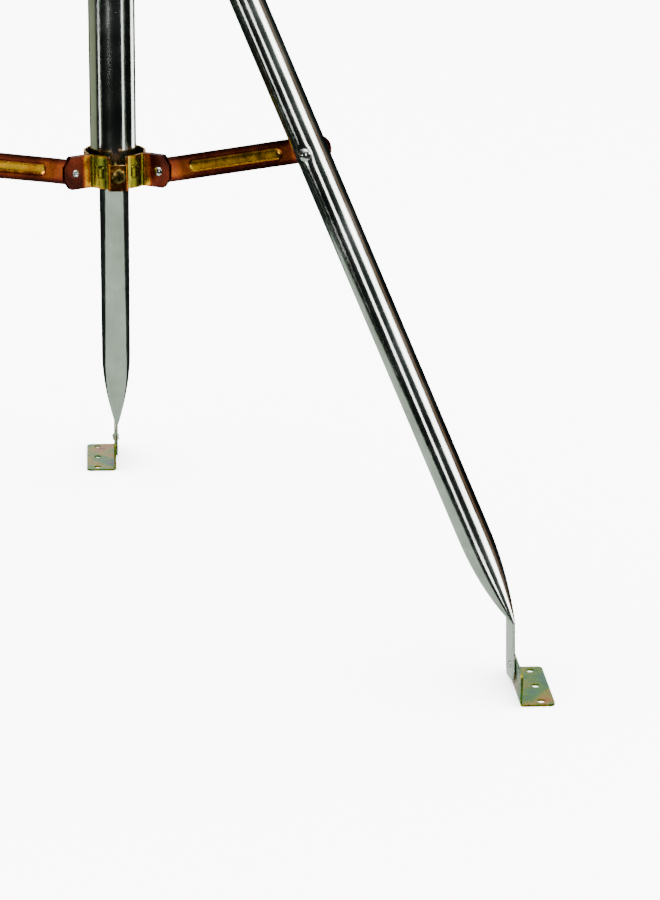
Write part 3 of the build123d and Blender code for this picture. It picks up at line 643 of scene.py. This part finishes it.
def hexRows(across, profile, centre, axis, phase, columns=96):
    # hexagon radius across / 2 / cos(a mod 60 - 30), limited by each row's cone radius
    profile = np.asarray(profile, float)
    angles = np.linspace(0, 2 * math.pi, columns, endpoint=False)
    hexagon = across / 2 / np.cos((angles + phase) % (math.pi / 3) - math.pi / 6)
    radius = np.minimum(profile[:, 0, None], hexagon[None])
    return ringRows(radius, profile[:, 1], centre, axis, angles)


def domeProfile(radius, height, lip, sink):
    # spherical cap over a short straight lip, closed by its pole
    ball = (radius ** 2 + (height - lip) ** 2) / (2 * (height - lip))
    angles = np.linspace(math.asin(radius / ball), 0, 14)
    cap = np.stack([ball * np.sin(angles), height - ball + ball * np.cos(angles)], -1)
    return [(0.0, -sink), (radius * 0.9, -sink), (radius, 0.0)] + cap.tolist()


# Rivets: domed heads, straight shanks and rolled hollow tails
rivetSizes = dict(
    shank=2.5, head=4.2, headHeight=2.2, headLip=0.35,
    tail=3.7, tailHeight=1.4, hollow=1.5, tailFloor=0.15, rimBase=0.25,
    legHead=6.0, legHeadHeight=2.7, legHeadSkirt=0.9, legHeadSink=0.6,
    footDrop=42.6, footStart=3.34, footGrip=4.56,     # foot rivet: below the crease, head seat, plates held
    earReach=3.25, seatGap=0.02,
    legStart=14.9, legGrip=30.8, strapFace=18.275,    # leg rivet: head seat, shank, outer face of the strap
)


def tailProfile(sizes):
    # rolled rim: half circle between the hollow and the tail radius
    middle = (sizes["tail"] + sizes["hollow"]) / 2
    half = (sizes["tail"] - sizes["hollow"]) / 2
    angles = np.linspace(0, math.pi, 12)
    base, floor = sizes["rimBase"], sizes["tailFloor"]
    rise = sizes["tailHeight"] - base
    rim = np.stack([middle + half * np.cos(angles), base + rise * np.sin(angles)], -1)
    return [(0.0, 0.0), (sizes["tail"], 0.0)] + rim.tolist() + [(sizes["hollow"] * 0.8, floor), (0.0, floor)]


def rivetPatches(sizes, start, direction, grip):
    # head behind the start, shank through the grip, rolled tail beyond it
    head = lathe(domeProfile(sizes["head"], sizes["headHeight"], sizes["headLip"], 0.0), start, -direction)
    shank = lathe([(sizes["shank"], 0.0), (sizes["shank"], grip)], start, direction)
    tail = lathe(tailProfile(sizes), start + direction * grip, direction)
    return [head, shank, tail]


def makeRivets(name, azimuth, sizes):
    # each rivet's place is worked out on a leg that leans along +X, then turned to its own leg
    out, footWide, footDown = footAxes(name, azimuth)
    spot = creasePoint + footDown * sizes["footDrop"]
    foot = rivetPatches(sizes, spot + out * sizes["footStart"], -out, sizes["footGrip"])
    reach = sizes["earReach"] + sizes["seatGap"]
    ear = np.array([stand["collarRivet"], stand["collarOffset"] - reach, stand["collarHeight"]])
    ears = rivetPatches(sizes, ear, tangent, 2 * reach)
    headAt = legRivetPoint - tangent * sizes["legStart"]
    skirt = sizes["legHeadSkirt"]
    dome = domeProfile(sizes["legHead"], sizes["legHeadHeight"] + skirt, skirt, sizes["legHeadSink"])
    shank = [(sizes["shank"], 0.0), (sizes["shank"], sizes["legGrip"])]
    leg = [lathe(dome, headAt, -tangent), lathe(shank, headAt, tangent)]
    tail = lathe(tailProfile(sizes), legRivetPoint + tangent * sizes["strapFace"], tangent)
    groups = {
        "footRivet_": (foot, "leg_" + name, "foot_rivet_"),
        "earRivet_": (ears, "collar", "ear_rivet_"),
        "legRivet_": (leg, "leg_" + name, "brace_rivet_"),
        "strapTail_": ([tail], "brace_" + name, "brace_rivet_tail_"),
    }
    for label, (rowsList, body, node) in groups.items():
        patches = [dict(rows=turnAbout(rows, azimuth), round=True) for rows in rowsList]
        gridPiece(label + name, patches, brightRivet, body, "bright_rivet", [node + name])


for name, azimuth in stand["azimuths"].items():
    makeRivets(name, azimuth, rivetSizes)
print("rivets made")

# Bolts and nuts: chamfered hexagons, and shanks with thread turns along them
boltSizes = dict(
    across=12.7, head=5.4, nut=6.4, shank=3.97, pitch=1.27, threadDepth=0.32, threadEnd=3.8,
    chamfer=1.15, footBevel=0.35, headTurn=0.3, pivotHeadTurn=0.1, pivotNutTurn=0.5,
    front=38.0, start=17.075, frontGap=0.05,          # set bolt: boss face and tip, from the rings' centre
    reach=3.45, seatGap=0.02,                         # pivot bolt: half of what it holds
)


def hexProfile(sizes, height, hollow):
    # limits of the hexagon's radius: base bevel, free flats, then the chamfer's cone up to the flat top
    across, chamfer = sizes["across"], sizes["chamfer"]
    steps = np.linspace(0, 1, 9)
    cone = np.stack([across / 2 * (1.17 - 0.24 * steps), height - chamfer + chamfer * steps], -1)
    flats = [(across, sizes["footBevel"]), (across, height - chamfer - 0.05)]
    base = [(hollow, 0.0), (across * 0.46, 0.0)] + flats
    return base + cone.tolist() + [(hollow, height)]


def threadProfile(sizes, length):
    # radius less a saw-tooth of one pitch, with a small point at the end
    radius, pitch = sizes["shank"], sizes["pitch"]
    z = np.arange(0.0, length, pitch / 4)
    depth = sizes["threadDepth"] * np.abs((z / pitch) % 1.0 - 0.5) * 2
    turns = np.stack([radius - depth, z], -1).tolist()
    return [(0.0, 0.0), (radius * 0.9, 0.0)] + turns + [(radius * 0.86, length), (0.0, length + 0.2)]


def makeBolts(sizes):
    # set bolts along +X turned to the boss and lifted to their ring, then pivot bolts across each leg's top
    across, reach = sizes["across"], sizes["reach"]
    axis = np.array([1.0, 0.0, 0.0])
    headProfile = hexProfile(sizes, sizes["head"], 0.0)
    nutProfile = hexProfile(sizes, sizes["nut"], sizes["shank"] - 0.1)
    for clamp, facts in clamps.items():
        spin = 270.0 + facts["yaw"]
        seat = axis * (sizes["front"] + sizes["frontGap"])
        head = hexRows(across, headProfile, seat, axis, sizes["headTurn"])
        shank = lathe(threadProfile(sizes, sizes["front"] - sizes["start"]), axis * sizes["start"], axis)
        lift = np.array([0, 0, facts["level"]])
        patches = [dict(rows=turnAbout(rows, spin) + lift, round=True) for rows in (head, shank)]
        gridPiece(clamp + "Bolt", patches, yellowBolt, clamp + "_set_bolt", "yellow_zinc_fastener",
                  [clamp + "_set_bolt"])
    for name, azimuth in stand["azimuths"].items():
        start = pivotPoint - tangent * (reach + sizes["seatGap"])
        nutAt = pivotPoint + tangent * (reach + sizes["seatGap"])
        length = 2 * reach + sizes["nut"] + sizes["threadEnd"]
        head = hexRows(across, headProfile, start, -tangent, sizes["pivotHeadTurn"])
        shank = lathe(threadProfile(sizes, length), start, tangent)
        nut = hexRows(across, nutProfile, nutAt, tangent, sizes["pivotNutTurn"])
        boltPatches = [dict(rows=turnAbout(rows, azimuth), round=True) for rows in (head, shank)]
        nutPatch = dict(rows=turnAbout(nut, azimuth), round=True, loop=True)
        gridPiece("pivotBolt_" + name, boltPatches, brightRivet, "head", "bright_rivet",
                  ["pivot_bolt_" + name])
        gridPiece("pivotNut_" + name, [nutPatch], brightRivet, "head", "bright_rivet",
                  ["pivot_nut_" + name])


makeBolts(boltSizes)
print("bolts made")


# Stage: a pale floor, its dimmer reflection, a dark room seen only in reflections, and soft lights
def discFloor(name, outer, colour, height, sides=128):
    # flat disc: radius from almost nothing to outer, angle all the way round
    angles = np.linspace(0, 2 * math.pi, sides, endpoint=False)
    radii = np.array([0.0001, outer])[:, None]
    ring = np.stack([radii * np.cos(angles), radii * np.sin(angles), np.full((2, sides), height)], -1)
    mesh = bpy.data.meshes.new(name)
    corner = np.arange(sides)
    nextCorner = (corner + 1) % sides
    faces = np.stack([corner, nextCorner, sides + nextCorner, sides + corner], -1)
    mesh.from_pydata(ring.reshape(-1, 3).tolist(), [], faces.tolist())
    material, tree, shader = newMaterial(name + "Paint")
    shader.inputs["Base Color"].default_value = linear(colour)
    shader.inputs["Roughness"].default_value = 0.9
    mesh.materials.append(material)
    floor = bpy.data.objects.new(name, mesh)
    bpy.context.scene.collection.objects.link(floor)
    return floor


paleFloor = discFloor("paleFloor", 9.0, "#f4f5f4", -0.0004)
paleFloor.visible_glossy = False
dimFloor = discFloor("dimFloor", 0.5, "#515750", -0.0006)
dimFloor.visible_camera = False
dimFloor.visible_diffuse = False
dimFloor.visible_shadow = False

world = bpy.data.worlds.new("studio")
bpy.context.scene.world = world
world.use_nodes = True
sky = world.node_tree
sky.nodes.clear()
direction = addNode(sky, "ShaderNodeTexCoord").outputs["Generated"]
axes = addNode(sky, "ShaderNodeSeparateXYZ", links={"Vector": direction})
minusY = addNode(sky, "ShaderNodeMath", {"operation": "MULTIPLY", 1: -1.0}, {0: axes.outputs["Y"]})
bearing = addNode(sky, "ShaderNodeMath", {"operation": "ARCTAN2"},
                  {0: axes.outputs["X"], 1: minusY.outputs["Value"]})
# bearing runs from -pi at the back, through 0 at the camera's side, to pi
share = addNode(sky, "ShaderNodeMapRange", {"From Min": -math.pi, "From Max": math.pi},
                {"Value": bearing.outputs["Value"]})
height = addNode(sky, "ShaderNodeMapRange", {"From Min": -1.0, "From Max": 1.0},
                 {"Value": axes.outputs["Z"]})


def bearingPlace(degrees):
    # -180 to 180 degrees as 0 to 1, limited to that range
    return min(max((degrees + 180.0) / 360.0, 0.0), 1.0)


def strip(centre, half, soft, low, high, edge):
    # light band: one inside its bearing and height limits, fading over soft and edge
    stops = [(bearingPlace(centre - half - soft), 0.0), (bearingPlace(centre - half), 1.0),
             (bearingPlace(centre + half), 1.0), (bearingPlace(centre + half + soft), 0.0)]
    across = addNode(sky, "ShaderNodeValToRGB", {"stops": stops}, {"Fac": share.outputs["Result"]})
    lowPlace = (math.sin(math.radians(low)) + 1) / 2
    highPlace = (math.sin(math.radians(high)) + 1) / 2
    heights = [(lowPlace - edge, 0.0), (lowPlace, 1.0), (highPlace, 1.0), (highPlace + edge, 0.0)]
    up = addNode(sky, "ShaderNodeValToRGB", {"stops": heights}, {"Fac": height.outputs["Result"]})
    return addNode(sky, "ShaderNodeMix", {"data_type": "RGBA", "blend_type": "MULTIPLY", 0: 1.0},
                   {6: across.outputs["Color"], 7: up.outputs["Color"]}).outputs[2]


# cards: centre bearing, half width, softness, lowest and highest elevation in degrees,
# fade of the height as a share, strength, colour
cards = [
    (-65.0, 3.0, 2.5, -13.2, -8.0, 0.008, 12.0, "#ffffff"),
    (53.5, 1.6, 2.5, -15.5, -10.0, 0.02, 7.0, "#ffffff"),
    (121.0, 8.0, 5.0, -16.0, -9.0, 0.02, 8.0, "#ffffff"),
    (-16.0, 3.2, 3.0, -2.0, 8.0, 0.02, 12.0, "#ffffff"),
    (48.0, 15.0, 4.0, 15.0, 32.0, 0.02, 14.0, "#ffffff"),
    (86.0, 7.0, 6.0, 12.0, 30.0, 0.03, 0.9, "#9a6a48"),
    (0.0, 60.0, 30.0, 50.0, 90.0, 0.05, 4.0, "#ffffff"),
    (-180.0, 30.0, 8.0, 12.0, 45.0, 0.04, 1.3, "#ffffff"),
    (180.0, 30.0, 8.0, 12.0, 45.0, 0.04, 1.3, "#ffffff"),
    (-116.0, 22.0, 10.0, -14.5, -10.0, 0.01, 1.1, "#b8c0a0"),
]
glowStops = [(0.0, "#3a3e3b"), (0.46, "#101214"), (0.62, "#14181c"), (0.85, "#8d9692"), (1.0, "#c9cfcb")]
glow = addNode(sky, "ShaderNodeValToRGB", {"stops": glowStops}, {"Fac": height.outputs["Result"]})
total = glow.outputs["Color"]
for *place, strength, colour in cards:
    tone = [strength * part for part in linear(colour)[:3]]
    scaled = addNode(sky, "ShaderNodeVectorMath", {"operation": "MULTIPLY", 1: tone}, {0: strip(*place)})
    added = addNode(sky, "ShaderNodeVectorMath", {"operation": "ADD"}, {0: total, 1: scaled.outputs[0]})
    total = added.outputs[0]
paths = addNode(sky, "ShaderNodeLightPath")
mirrorSky = addNode(sky, "ShaderNodeBackground", {"Strength": 1.0}, {"Color": total})
plainSky = addNode(sky, "ShaderNodeBackground", {"Color": linear("#ffffff"), "Strength": 12.0})
either = addNode(sky, "ShaderNodeMath", {"operation": "MAXIMUM"},
                 {0: paths.outputs["Is Camera Ray"], 1: paths.outputs["Is Diffuse Ray"]})
skies = {"Fac": either.outputs["Value"], 1: mirrorSky.outputs[0], 2: plainSky.outputs[0]}
mixed = addNode(sky, "ShaderNodeMixShader", links=skies)
addNode(sky, "ShaderNodeOutputWorld", links={"Surface": mixed.outputs["Shader"]})


def softLight(name, place, target, size, power, receivers=None):
    # a rectangle of light aimed at the target; receivers names the only pieces that it lights
    lamp = bpy.data.lights.new(name, "AREA")
    lamp.shape = "RECTANGLE"
    lamp.size = size[0]
    lamp.size_y = size[1]
    lamp.energy = power
    thing = bpy.data.objects.new(name, lamp)
    thing.location = place
    aim = np.asarray(target, float) - np.asarray(place, float)
    yaw = math.atan2(aim[1], aim[0]) - math.pi / 2
    pitch = math.atan2(aim[2], math.hypot(aim[0], aim[1]))
    thing.rotation_euler = (math.pi / 2 + pitch, 0, yaw)
    bpy.context.scene.collection.objects.link(thing)
    if receivers:
        thing.light_linking.receiver_collection = receivers
    return thing


# lamps: place and target in m, width and height in m, power in W
softLight("topLight", (0.3, 0.6, 3.2), (0, 0, 0.3), (2.4, 2.4), 60)
softLight("warmLeft", (-2.0, -1.0, -0.35), (0, 0, 0.45), (1.6, 1.0), 9, warmSet)
softLight("warmRight", (2.0, -1.0, -0.35), (0, 0, 0.45), (1.6, 1.0), 8, warmSet)
softLight("warmFront", (0.0, -2.4, 1.6), (0, 0, 0.45), (2.0, 0.5), 12, warmSet)
softLight("warmBack", (0.6, 2.4, 0.3), (0, 0, 0.4), (2.4, 0.8), 12, warmSet)
print("stage set")

# Camera looking down at the lower half of the stand from the front: lengths in m, angles in degrees
view = dict(place=(-0.010849, -2.643421, 1.094252), heading=-4.819, down=19.442, roll=0.767,
            lens=111.834, sensor=36.0, farthest=30.0)
cameraData = bpy.data.cameras.new("mainCamera")
cameraData.sensor_width = view["sensor"]
cameraData.lens = view["lens"]
cameraData.clip_end = view["farthest"]
camera = bpy.data.objects.new("mainCamera", cameraData)
camera.location = view["place"]
heading = mathutils.Matrix.Rotation(math.radians(view["heading"]), 4, "Z")
tip = mathutils.Matrix.Rotation(math.radians(90 - view["down"]), 4, "X")
roll = mathutils.Matrix.Rotation(math.radians(view["roll"]), 4, "Z")
camera.rotation_euler = (heading @ tip @ roll).to_euler("XYZ")
bpy.context.scene.collection.objects.link(camera)
bpy.context.scene.camera = camera
print("camera set")
